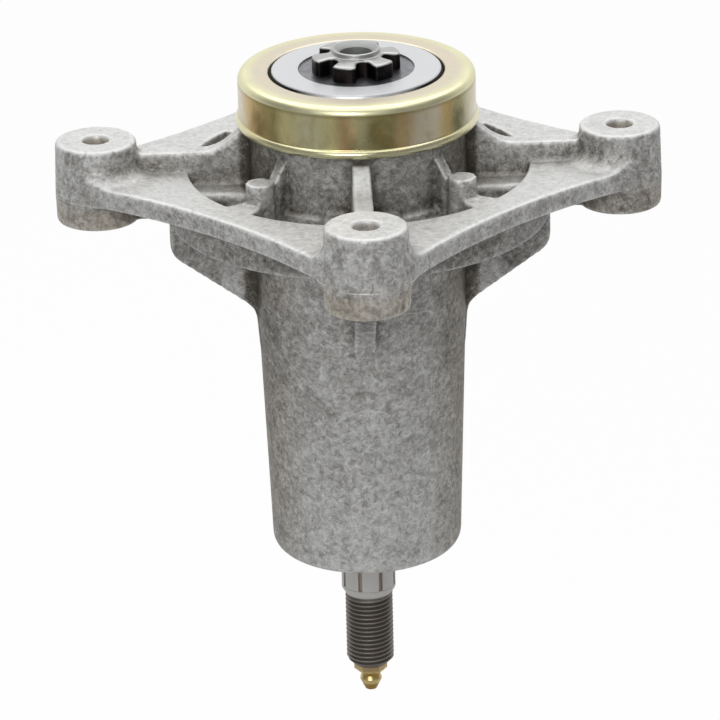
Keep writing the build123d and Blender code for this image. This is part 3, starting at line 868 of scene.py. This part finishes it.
def arc(centre: Tuple[float, float], bend: float, start: float, end: float, steps: int) -> Section:
    """Points along an arc of a turned section.

    Args:
        centre: The arc's centre, as a radius and a height in millimetres.
        bend: The arc's radius.
        start: The angle where it starts, in degrees from the outward direction.
        end: The angle where it ends.
        steps: How many equal steps it has.

    Returns:
        The points.
    """
    angles = [math.radians(start + (end - start) * k / steps) for k in range(steps + 1)]
    return [(centre[0] + bend * math.cos(a), centre[1] + bend * math.sin(a)) for a in angles]


def turned(shape: bmesh.types.BMesh, section: Section, columns: int, closed: bool) -> None:
    """Turns a section round the shaft's axis, facing up where the section runs outward.

    Args:
        shape: The mesh that gets the surface.
        section: Its points, as radii and heights in millimetres.
        columns: How many steps go round.
        closed: Whether the last point joins the first.
    """
    rings = []
    for k in range(columns):
        angle = 2 * math.pi * k / columns
        across, along = math.cos(angle) * MM, math.sin(angle) * MM
        rings.append([shape.verts.new((r * across, r * along, z * MM)) for r, z in section])
    last = len(section) if closed else len(section) - 1
    for left, right in zip(rings, rings[1:] + rings[:1]):
        for k in range(last):
            n = (k + 1) % len(section)
            shape.faces.new((left[k], left[n], right[n], right[k]))


def as_mesh(shape: bmesh.types.BMesh, name: str) -> bpy.types.Mesh:
    """Turns a finished shape into a mesh.

    Args:
        shape: The shape, which is freed.
        name: The mesh's name.

    Returns:
        The mesh.
    """
    mesh = bpy.data.meshes.new(name)
    shape.to_mesh(mesh)
    shape.free()
    return mesh


def finished(mesh: bpy.types.Mesh, material: bpy.types.Material) -> None:
    """Gives a mesh its material and smooth shading.

    Args:
        mesh: The mesh.
        material: The material.
    """
    mesh.materials.clear()
    mesh.materials.append(material)
    mesh.polygons.foreach_set("use_smooth", [True] * len(mesh.polygons))


def new_object(name: str, mesh: bpy.types.Mesh) -> bpy.types.Object:
    """Puts a mesh in the scene.

    Args:
        name: The piece's name.
        mesh: Its mesh.

    Returns:
        The new object.
    """
    made = bpy.data.objects.new(name, mesh)
    bpy.context.scene.collection.objects.link(made)
    return made


def node_copy(node: str) -> bpy.types.Mesh:
    """A welded copy of a solid's mesh.

    Args:
        node: The solid's name.

    Returns:
        The copy.
    """
    shape = bmesh.new()
    shape.from_mesh(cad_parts[node].data)
    bmesh.ops.remove_doubles(shape, verts=shape.verts, dist=1e-6)
    return as_mesh(shape, node + "_copy")


def applied(piece: bpy.types.Object) -> bpy.types.Object:
    """Applies a piece's modifiers to its mesh.

    Args:
        piece: The piece.

    Returns:
        The same piece.
    """
    bpy.context.view_layer.update()
    graph = bpy.context.evaluated_depsgraph_get()
    mesh = bpy.data.meshes.new_from_object(piece.evaluated_get(graph))
    piece.modifiers.clear()
    piece.data = mesh
    return piece


def report(piece: bpy.types.Object) -> None:
    """Writes a piece's name and triangle count to the log."""
    triangles = sum(len(face.vertices) - 2 for face in piece.data.polygons)
    logger.info("%s: %d triangles", piece.name, triangles)


class Curvature:
    """How sharply a dense mesh bends at each vertex, to be stored on a lighter copy of it."""

    def __init__(self, mesh: bpy.types.Mesh, passes: int) -> None:
        """Measures the mesh.

        Args:
            mesh: A mesh of even, small faces.
            passes: How many times the values are evened out between neighbours.
        """
        count = len(mesh.vertices)
        self.places: np.ndarray = self.read(mesh.vertices, "co", count)
        normals = self.read(mesh.vertices, "normal", count)
        ends = np.empty(2 * len(mesh.edges), dtype=np.int32)
        mesh.edges.foreach_get("vertices", ends)
        first, second = ends[0::2], ends[1::2]
        along = self.places[second] - self.places[first]
        length = np.maximum((along**2).sum(axis=1), 1e-6)
        bend = np.bincount(first, -2 * (normals[first] * along).sum(axis=1) / length, count)
        bend += np.bincount(second, 2 * (normals[second] * along).sum(axis=1) / length, count)
        neighbours = np.maximum(np.bincount(ends, minlength=count), 1)
        bend /= neighbours
        for _ in range(passes):
            around = np.bincount(first, bend[second], count) + np.bincount(second, bend[first], count)
            bend = 0.5 * bend + 0.5 * around / neighbours
        self.bend: np.ndarray = bend

    @staticmethod
    def read(vertices: bpy.types.MeshVertices, key: str, count: int) -> np.ndarray:
        """Reads places in millimetres, or directions, from a mesh's vertices.

        Args:
            vertices: The vertices.
            key: What is read.
            count: How many there are.

        Returns:
            One row a vertex.
        """
        values = np.empty(3 * count)
        vertices.foreach_get(key, values)
        return values.reshape(-1, 3) / (MM if key == "co" else 1.0)

    def store(self, mesh: bpy.types.Mesh, edge_bend: float, corner_bend: float) -> None:
        """Stores the worn and highlighted edges and the shaded inner corners on another mesh of the same
        shape.

        Args:
            mesh: The mesh that gets the values.
            edge_bend: The curvature of a fully worn edge, in 1/mm.
            corner_bend: The curvature of a full inner corner, in 1/mm.
        """
        finder = kdtree.KDTree(len(self.places))
        for index, place in enumerate(self.places):
            finder.insert(place, index)
        finder.balance()
        count = len(mesh.vertices)
        nearest = [finder.find(place)[1] for place in self.read(mesh.vertices, "co", count)]
        bend = self.bend[nearest]
        for kind, values in ((Trace.EDGE, bend / edge_bend), (Trace.HOLLOW, -bend / corner_bend)):
            layer = mesh.attributes.new(kind.value, "FLOAT", "POINT")
            layer.data.foreach_set("value", np.clip(values, 0.0, 1.0).astype(np.float32))


@dataclass
class Housing:
    """The die-cast housing: its edges are rounded as a casting's are."""

    voxel: float = 0.6
    smooth_steps: int = 4
    faces: int = 190000
    bend_passes: int = 3
    edge_bend: float = 0.42
    corner_bend: float = 0.40
    skin: CastSkin = field(default_factory=CastSkin)

    def build(self) -> bpy.types.Object:
        """Makes the skin.

        Returns:
            The piece.
        """
        piece = new_object("housing_casting", node_copy("housing"))
        remesh = piece.modifiers.new("skin", "REMESH")
        remesh.mode = "VOXEL"
        remesh.voxel_size = self.voxel * MM
        remesh.use_smooth_shade = True
        smooth = piece.modifiers.new("soften", "SMOOTH")
        smooth.factor = 0.5
        smooth.iterations = self.smooth_steps
        applied(piece)
        curvature = Curvature(piece.data, self.bend_passes)
        count = sum(len(face.vertices) - 2 for face in piece.data.polygons)
        thin = piece.modifiers.new("thin", "DECIMATE")
        thin.ratio = min(1.0, self.faces / count)
        applied(piece)
        curvature.store(piece.data, self.edge_bend, self.corner_bend)
        finished(piece.data, self.skin.material())
        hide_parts("housing")
        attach(piece, "housing")
        report(piece)
        return piece


@dataclass
class DustCap:
    """The pressed dust cap: rounded rim, thin side wall and a full rolled bead at its mouth."""

    hole_r: float = 25.5
    bore_r: float = 33.0
    side_r: float = 34.5
    top_z: float = 19.2
    foot_z: float = 3.8
    sheet: float = 1.5
    corner_r: float = 2.3
    bead_r: float = 1.4
    bead_step: float = 0.95
    fillet: float = 0.3
    columns: int = 256
    corner_steps: int = 10
    bead_steps: int = 20
    skin: PlatedSkin = field(default_factory=PlatedSkin)

    def section(self) -> Section:
        """The cap's section, from the hole's lower edge over the top and round the bead.

        Returns:
            Its points.
        """
        edge = self.sheet / 2
        inner = self.corner_r - self.sheet
        bead = (self.side_r + self.bead_step - self.bead_r, self.foot_z + self.bead_r)
        leave = math.degrees(math.acos((self.side_r - bead[0]) / self.bead_r))
        arrive = math.degrees(math.acos((self.bore_r - bead[0]) / self.bead_r))
        points = [(self.hole_r, self.top_z - self.sheet)]
        points += arc((self.hole_r + edge, self.top_z - edge), edge, 180, 90, self.corner_steps)
        corner = (self.side_r - self.corner_r, self.top_z - self.corner_r)
        points += arc(corner, self.corner_r, 90, 0, self.corner_steps)
        crease_z = bead[1] + self.bead_r * math.sin(math.radians(leave))
        points += [(self.side_r, corner[1] - self.fillet), (self.side_r, crease_z + self.fillet)]
        points += arc(bead, self.bead_r, leave, arrive - 360, self.bead_steps)
        points += arc((self.bore_r - inner, self.top_z - self.corner_r), inner, 0, 90, self.corner_steps // 2)
        return points

    def build(self) -> bpy.types.Object:
        """Makes the cap.

        Returns:
            The piece.
        """
        shape = bmesh.new()
        turned(shape, self.section(), self.columns, True)
        bmesh.ops.recalc_face_normals(shape, faces=shape.faces)
        piece = new_object("dust_cap_pressing", as_mesh(shape, "dust_cap_pressing"))
        finished(piece.data, self.skin.material())
        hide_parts("dust_cap")
        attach(piece, "spindle")
        report(piece)
        return piece


@dataclass
class NutThread:
    """The outer thread for the pulley's nut, one helical surface from the spline to the chamfered foot."""

    pitch: float = 1.411
    crest_r: float = 7.14
    root_r: float = 6.25
    top_z: float = -146.85
    foot_z: float = -171.0
    foot_chamfer: float = 2.2
    crest_share: float = 0.12
    root_share: float = 0.18
    columns: int = 96
    rows_per_turn: int = 12

    def radius(self, share: float) -> float:
        """The thread's radius at a share of one pitch.

        Args:
            share: The place in the pitch, from 0 to 1.

        Returns:
            The radius in millimetres.
        """
        away = abs((share % 1.0) - 0.5) * 2
        slope = min(max((away - self.crest_share) / (1 - self.crest_share - self.root_share), 0.0), 1.0)
        return self.crest_r - (self.crest_r - self.root_r) * slope

    def point(self, row: int, column: int) -> Point:
        """One point of the surface.

        Args:
            row: How many rows up the thread it is.
            column: How many columns round the thread it is.

        Returns:
            The point in metres.
        """
        turn = column / self.columns
        z = self.foot_z + (row / self.rows_per_turn - 1 + turn) * self.pitch
        z = min(max(z, self.foot_z), self.top_z)
        r = self.radius((z - self.foot_z) / self.pitch - turn)
        r = min(r, self.crest_r - self.foot_chamfer + (z - self.foot_z))
        run_out = min(max((self.top_z - z) / self.pitch, 0.0), 1.0)
        r = self.crest_r + (r - self.crest_r) * run_out
        angle = 2 * math.pi * turn
        return (r * MM * math.cos(angle), r * MM * math.sin(angle), z * MM)

    def mesh(self) -> bpy.types.Mesh:
        """Makes the surface.

        Returns:
            The mesh.
        """
        rows = int((self.top_z - self.foot_z) / self.pitch + 3) * self.rows_per_turn
        shape = bmesh.new()
        columns = range(self.columns)
        grid = [[shape.verts.new(self.point(row, column)) for column in columns] for row in range(rows)]
        for low, high in zip(grid, grid[1:]):
            for k in range(self.columns - 1):
                shape.faces.new((low[k], low[k + 1], high[k + 1], high[k]))
        seam = [(low[-1], low_next[0]) for low, low_next in zip(grid, grid[self.rows_per_turn:])]
        for (low_last, low_first), (high_last, high_first) in zip(seam, seam[1:]):
            shape.faces.new((low_last, low_first, high_first, high_last))
        bmesh.ops.remove_doubles(shape, verts=shape.verts, dist=1e-7)
        bmesh.ops.dissolve_degenerate(shape, edges=shape.edges, dist=1e-7)
        return as_mesh(shape, "nut_thread")


@dataclass
class StarDrive:
    """The star that drives the blade: rounded lobes below the collar round the bolt's hole."""

    lobes: int = 6
    angle: float = 11.5
    tip_r: float = 12.9
    root_r: float = 7.9
    tip_half: float = 17.5
    root_half: float = 17.5
    low_z: float = 19.1
    floor_z: float = 19.15
    recess_r: float = 16.9
    margin: float = 0.05
    bore_r: float = 4.76
    bore_top_z: float = 24.2
    chamfer: float = 1.5
    collar_r: float = 7.0
    collar_z: float = 25.7
    collar_edge: float = 0.35
    fillet_r: float = 7.5
    lobe_z: float = 24.25
    droop: float = 0.085
    spacing: float = 0.35
    rounding_steps: int = 22
    arc_steps: int = 8
    corner_steps: int = 4
    fillet_rise: float = 0.5
    rim_insets: Tuple[float, ...] = (0.0, 0.10, 0.30, 0.60, 0.90)
    rim_drops: Tuple[float, ...] = (-0.80, -0.45, -0.20, -0.05, 0.0)
    columns: int = 96

    def outline(self) -> np.ndarray:
        """The star seen from above, with rounded tips and roots.

        Returns:
            Evenly spaced points in millimetres, anticlockwise.
        """
        corners: Section = []
        half_pitch = 180.0 / self.lobes
        for k in range(self.lobes):
            lobe = self.angle + 2 * k * half_pitch
            root = lobe + half_pitch
            reach = half_pitch - self.root_half
            corners += arc((0.0, 0.0), self.tip_r, lobe - self.tip_half, lobe + self.tip_half, self.arc_steps)
            corners += arc((0.0, 0.0), self.root_r, root - reach, root + reach, self.arc_steps)
        loop = np.array(corners + corners[:1])
        run = np.concatenate(([0.0], np.cumsum(np.hypot(*np.diff(loop, axis=0).T))))
        places = np.linspace(0.0, run[-1], int(run[-1] / self.spacing), endpoint=False)
        points = np.stack([np.interp(places, run, loop[:, axis]) for axis in (0, 1)], axis=1)
        for _ in range(self.rounding_steps):
            points = points / 2 + (np.roll(points, 1, axis=0) + np.roll(points, -1, axis=0)) / 4
        return points

    def top(self, x: float, y: float) -> float:
        """The height of the lobes' tops at a place."""
        return self.lobe_z - self.droop * (math.hypot(x, y) - self.fillet_r)

    def add_to(self, shape: bmesh.types.BMesh) -> None:
        """Adds the star, its collar and the recess's floor.

        Args:
            shape: The mesh that gets them.
        """
        points = self.outline()
        along = np.roll(points, -1, axis=0) - np.roll(points, 1, axis=0)
        inward = np.stack((-along[:, 1], along[:, 0]), axis=1) / np.hypot(*along.T)[:, None]
        rings = [[shape.verts.new((x * MM, y * MM, self.low_z * MM)) for x, y in points]]
        for inset, drop in zip(self.rim_insets, self.rim_drops):
            moved = points + inset * inward
            rings.append([shape.verts.new((x * MM, y * MM, (self.top(x, y) + drop) * MM)) for x, y in moved])
        for low, high in zip(rings, rings[1:]):
            for k in range(-1, len(points) - 1):
                shape.faces.new((low[k], low[k + 1], high[k + 1], high[k]))
        turns = [2 * math.pi * k / self.columns for k in range(self.columns)]
        r, z = self.fillet_r * MM, self.lobe_z * MM
        circle = [shape.verts.new((r * math.cos(t), r * math.sin(t), z)) for t in turns]
        edges = [shape.edges.get((rings[-1][k - 1], rings[-1][k])) for k in range(len(points))]
        edges += [shape.edges.new((circle[k - 1], circle[k])) for k in range(self.columns)]
        bmesh.ops.triangle_fill(shape, use_beauty=True, edges=edges, normal=(0, 0, 1))
        floor = [(self.collar_r - self.fillet_rise, self.floor_z), (self.recess_r, self.floor_z)]
        turned(shape, floor, self.columns, False)
        edge, fillet = self.collar_edge, self.fillet_r - self.collar_r
        collar = [(self.bore_r, self.bore_top_z), (self.bore_r + self.chamfer, self.collar_z)]
        collar += arc((self.collar_r - edge, self.collar_z - edge), edge, 90, 0, self.corner_steps)
        collar += arc((self.fillet_r, self.lobe_z + self.fillet_rise), fillet, 180, 270, self.corner_steps)
        turned(shape, collar, self.columns, False)

    def clear(self, shape: bmesh.types.BMesh) -> None:
        """Takes the solid's own star, collar and recess floor off a copy of it.

        Args:
            shape: The copy.
        """
        gone = []
        for face in shape.faces:
            x, y, z = face.calc_center_median() / MM
            if z > self.low_z and math.hypot(x, y) < self.recess_r - self.margin:
                gone.append(face)
        bmesh.ops.delete(shape, geom=gone, context="FACES")


@dataclass
class Shaft:
    """The forged shaft: the solid's journal and spline, with the star and the nut thread drawn in full."""

    cut_z: float = -144.3
    spline_r: float = 8.1
    ring_edge: float = 0.15
    ring_foot_z: float = -145.3
    columns: int = 96
    sharp_angle: float = 28.0
    thread: NutThread = field(default_factory=NutThread)
    star: StarDrive = field(default_factory=StarDrive)
    finish: TurnedSteel = field(default_factory=TurnedSteel)

    def build(self) -> bpy.types.Object:
        """Makes the shaft.

        Returns:
            The piece.
        """
        shape = bmesh.new()
        shape.from_mesh(node_copy("spindle_shaft"))
        parts = shape.verts[:] + shape.edges[:] + shape.faces[:]
        cut = (0, 0, self.cut_z * MM)
        bmesh.ops.bisect_plane(shape, geom=parts, plane_co=cut, plane_no=(0, 0, -1), clear_outer=True)
        ring = [
            (self.thread.root_r, self.cut_z),
            (self.spline_r - self.ring_edge, self.cut_z),
            (self.spline_r, self.cut_z - self.ring_edge),
            (self.spline_r, self.ring_foot_z),
            (self.thread.crest_r, self.thread.top_z),
        ]
        turned(shape, ring, self.columns, False)
        self.star.clear(shape)
        self.star.add_to(shape)
        shape.from_mesh(self.thread.mesh())
        piece = new_object("shaft_forging", as_mesh(shape, "shaft_forging"))
        finished(piece.data, self.finish.material())
        piece.data.set_sharp_from_angle(angle=math.radians(self.sharp_angle))
        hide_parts("spindle_shaft")
        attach(piece, "spindle")
        report(piece)
        return piece


@dataclass
class CheckSpring:
    """The valve's spring, a copy of its solid with a steel finish."""

    fixed_end_z: float = -170.0
    ball_travel: float = 0.9
    joint: str = "check_ball_slide"

    def build(self) -> bpy.types.Object:
        """Makes the spring.

        Returns:
            The piece.
        """
        piece = new_object("check_spring_wire", node_copy("check_spring"))
        wire = PlainMetal("spring_steel", (0.50, 0.50, 0.51), (0.36, 0.35, 0.34), 0.25)
        piece.data.materials.append(wire.material())
        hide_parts("check_spring")
        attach(piece, "spindle")
        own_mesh(piece)
        report(piece)
        return piece


@dataclass
class CarriedOver:
    """Solids whose shape is right as it is: each gets its finish."""

    finishes: Dict[str, bpy.types.Material]

    def build(self) -> None:
        """Gives every solid its material."""
        for node, finish in self.finishes.items():
            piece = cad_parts[node]
            piece.data.materials.clear()
            piece.data.materials.append(finish)
            report(piece)


@dataclass(frozen=True)
class Lamp:
    """One soft square lamp: its place and target in metres, and how bright its face is, where 1 is white."""

    name: str
    place: Point
    target: Point
    size: float
    glow: float

    def hang(self) -> None:
        """Hangs the lamp."""
        data = bpy.data.lights.new(self.name, "AREA")
        data.shape = "RECTANGLE"
        data.size = data.size_y = self.size
        data.energy = self.glow * math.pi * self.size * self.size
        lamp = bpy.data.objects.new(self.name, data)
        facing = (Vector(self.target) - Vector(self.place)).to_track_quat("-Z", "Y")
        lamp.matrix_world = Matrix.Translation(self.place) @ facing.to_matrix().to_4x4()
        bpy.context.scene.collection.objects.link(lamp)


@dataclass
class Studio:
    """The pale sweep, the soft lamps and the camera at the photograph's angle."""

    elevation: float = 22.5657
    roll: float = 1.4102
    turn: float = 1.1761
    distance: float = 1484.297
    shift_x: float = -0.6596
    shift_z: float = -66.5166
    focal_px: float = 5107.66
    picture_px: float = 720.0
    sensor: float = 36.0
    floor_z: float = -300.0
    floor_half: float = 6.0
    white_y: float = 1.0
    grey_y: float = -0.6
    floor_grey: float = 0.36
    floor_bounce: float = 0.62
    floor_glow: float = 0.935
    floor_roughness: float = 0.9
    front_grey: float = 0.30
    room_light: float = 0.24
    room_fade: Ends = (0.05, 0.65)
    clip: Ends = (0.01, 50.0)
    lamps: Tuple[Lamp, ...] = (
        Lamp("overhead", (0.0, 0.25, 1.5), (0.0, 0.0, 0.0), 2.4, 1.45),
        Lamp("key", (-0.30, -1.4, 0.55), (0.0, 0.0, -0.05), 0.7, 5.4),
    )

    def camera(self) -> None:
        """Sets the camera at the photograph's angle."""
        e, r, w = (math.radians(v) for v in (self.elevation, self.roll, self.turn))
        forward = Vector((0, math.cos(e), -math.sin(e)))
        right = Vector((1, 0, 0))
        down = forward.cross(right)
        across = right * math.cos(r) + down * math.sin(r)
        below = down * math.cos(r) - right * math.sin(r)
        untwist = Matrix.Rotation(-w, 3, "Z")
        axes = Matrix((across, below, forward))
        centre = untwist @ (axes.transposed() @ Vector((-self.shift_x, -self.shift_z, -self.distance)))
        columns = [untwist @ across, -(untwist @ below), -(untwist @ forward)]
        rotation = Matrix(columns).transposed().to_4x4()
        data = bpy.data.cameras.new("camera")
        data.sensor_width = self.sensor
        data.lens = self.focal_px / self.picture_px * self.sensor
        data.clip_start, data.clip_end = self.clip
        camera = bpy.data.objects.new("camera", data)
        camera.matrix_world = Matrix.Translation(centre * MM) @ rotation
        bpy.context.scene.collection.objects.link(camera)
        bpy.context.scene.camera = camera

    def backdrop(self, g: Wiring, source: str, ends: Ends, dim: float) -> Tuple[Socket, Socket]:
        """What camera, mirror and glass rays see: white, and in mirrors dimmer on the camera's side.

        Args:
            g: The node tree that uses it.
            source: The texture coordinate that the dimming follows.
            ends: Where along Y the dimming ends and starts.
            dim: The tone on the camera's side.

        Returns:
            Whether such a ray asks, and the tone that it sees.
        """
        path = g.node("ShaderNodeLightPath").outputs
        along = g.part(g.node("ShaderNodeTexCoord").outputs[source], Axis.Y)
        tone = g.most(path["Is Camera Ray"], g.ramp(along, *ends, dim))
        return g.most(path["Is Camera Ray"], path["Is Glossy Ray"], path["Is Transmission Ray"]), tone

    def floor(self) -> None:
        """Lays the floor: white to the eye, with a faint shadow, duller in its bounce, clear from below."""
        half, z = self.floor_half, self.floor_z * MM
        mesh = bpy.data.meshes.new("floor")
        corners = [(-half, -half, z), (half, -half, z), (half, half, z), (-half, half, z)]
        mesh.from_pydata(corners, [], [(0, 1, 2, 3)])
        floor = new_object("floor", mesh)
        g = Graph("floor_white")
        mesh.materials.append(g.dress((self.floor_bounce,) * 3, 0.0, self.floor_roughness))
        seen, tone = self.backdrop(g, "Object", (self.grey_y, self.white_y), self.floor_grey)
        glow = g.node("ShaderNodeEmission", {"Color": tone, "Strength": self.floor_glow})
        shadow = g.node("ShaderNodeBsdfDiffuse", {"Color": (1.0 - self.floor_glow,) * 3})
        both = g.node("ShaderNodeAddShader", (glow.outputs[0], shadow.outputs[0]))
        above = g.either(seen, g.shader.outputs[0], both.outputs[0])
        beneath = g.node("ShaderNodeNewGeometry").outputs["Backfacing"]
        clear = g.node("ShaderNodeBsdfTransparent").outputs[0]
        g.show("Material Output", g.either(beneath, above, clear))

    def room(self) -> None:
        """Fills the room: white to the eye, dimmer in mirrors on the camera's side, an even soft light."""
        world = bpy.data.worlds.new("room")
        world.use_nodes = True
        g = Wiring(world.node_tree)
        shown = g.tree.nodes["Background"]
        seen, tone = self.backdrop(g, "Generated", self.room_fade, self.front_grey)
        g.feed(shown.inputs["Color"], tone)
        light = g.node("ShaderNodeBackground", {"Color": (1, 1, 1), "Strength": self.room_light})
        g.show("World Output", g.either(seen, light.outputs[0], shown.outputs[0]))
        bpy.context.scene.world = world

    def build(self) -> None:
        """Sets the whole studio."""
        self.camera()
        self.floor()
        self.room()
        for lamp in self.lamps:
            lamp.hang()
        bpy.context.scene.view_settings.view_transform = "Standard"
        logger.info("studio: floor, room, lamps and camera")


def carried_finishes() -> Dict[str, bpy.types.Material]:
    """The finish of every solid that keeps its own shape.

    Returns:
        The materials by node.
    """
    ground = PlainMetal("bearing_steel", (0.60, 0.60, 0.61), (0.42, 0.41, 0.40), 0.22).material()
    polished = PlainMetal("ball_steel", (0.78, 0.78, 0.79), (0.68, 0.68, 0.69), 0.12, 0.4, 0.002).material()
    pressed = PlainMetal("cage_steel", (0.52, 0.51, 0.49), (0.38, 0.36, 0.34), 0.34).material()
    rubber = MouldedRubber().material()
    finishes: Dict[str, bpy.types.Material] = {
        "spacer_sleeve": PlainMetal("tube_steel", (0.42, 0.42, 0.42), (0.25, 0.24, 0.23), 0.38).material(),
        "grease_fitting": FittingSkin().material(),
        "check_ball": polished,
    }
    for end in ("upper", "lower"):
        finishes[end + "_outer_ring"] = ground
        finishes[end + "_inner_ring"] = ground
        finishes[end + "_balls"] = polished
        finishes[end + "_cage"] = pressed
        finishes[end + "_seal"] = rubber
    return finishes


def main() -> None:
    """Builds each sub-assembly in order."""
    logging.basicConfig(level=logging.INFO, format="%(name)s: %(message)s")
    Housing().build()
    Shaft().build()
    DustCap().build()
    CheckSpring().build()
    CarriedOver(carried_finishes()).build()
    Studio().build()


if __name__ == "__main__":
    main()
